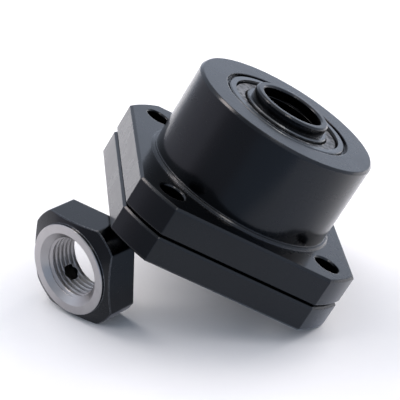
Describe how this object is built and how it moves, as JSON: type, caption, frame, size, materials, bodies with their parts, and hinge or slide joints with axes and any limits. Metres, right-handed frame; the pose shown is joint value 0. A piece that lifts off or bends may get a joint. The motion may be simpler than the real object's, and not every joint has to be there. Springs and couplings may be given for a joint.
{
  "type": "ball screw end support",
  "caption": "Flanged bearing unit that holds the fixed end of a ball screw, with a retaining lid and a loose lock nut under its edge.",
  "frame": {"origin": "centre of the flange's seating face, on the axis of the bore", "axes": "+Z along the bore from the lid to the nose, +X and +Y square to the flange's flats, with the loose lock nut towards -X and -Y"},
  "size_m": [0.0529, 0.044, 0.053],
  "materials": {
    "black_oxide": "black oxide, fine turned and milled",
    "black_oxide_screw": "black oxide",
    "bearing_steel": "ground",
    "ball_steel": "polished",
    "cage_polyamide": "moulded",
    "seal_rubber": "moulded",
    "brass": "turned"
  },
  "bodies": {
    "base": {"housing": "black_oxide", "retaining_lid": "black_oxide", "lid_screws": "black_oxide_screw", "lid_seal": "seal_rubber", "front_outer_ring": "bearing_steel", "rear_outer_ring": "bearing_steel", "lock_nut": "black_oxide", "set_screw": "black_oxide_screw", "set_piece": "brass"},
    "spindle": {"front_inner_ring": "bearing_steel", "rear_inner_ring": "bearing_steel", "inner_spacer": "bearing_steel", "front_collar": "black_oxide", "rear_collar": "black_oxide"},
    "front_cage": {"front_ball_cage": "cage_polyamide", "front_balls": "ball_steel"},
    "rear_cage": {"rear_ball_cage": "cage_polyamide", "rear_balls": "ball_steel"}
  },
  "joints": [
    {"name": "spindle_turn", "type": "hinge", "parent": "base", "child": "spindle", "pos_m": [0, 0, 0.006], "axis": [0, 0, 1], "continuous": true},
    {"name": "front_cage_turn", "type": "hinge", "parent": "base", "child": "front_cage", "pos_m": [0, 0, 0.0139], "axis": [0, 0, 1], "continuous": true},
    {"name": "rear_cage_turn", "type": "hinge", "parent": "base", "child": "rear_cage", "pos_m": [0, 0, -0.0022], "axis": [0, 0, 1], "continuous": true}
  ],
  "couplings": [
    {"joint": "front_cage_turn", "follows": "spindle_turn", "ratio": 0.4141},
    {"joint": "rear_cage_turn", "follows": "spindle_turn", "ratio": 0.4141}
  ]
}
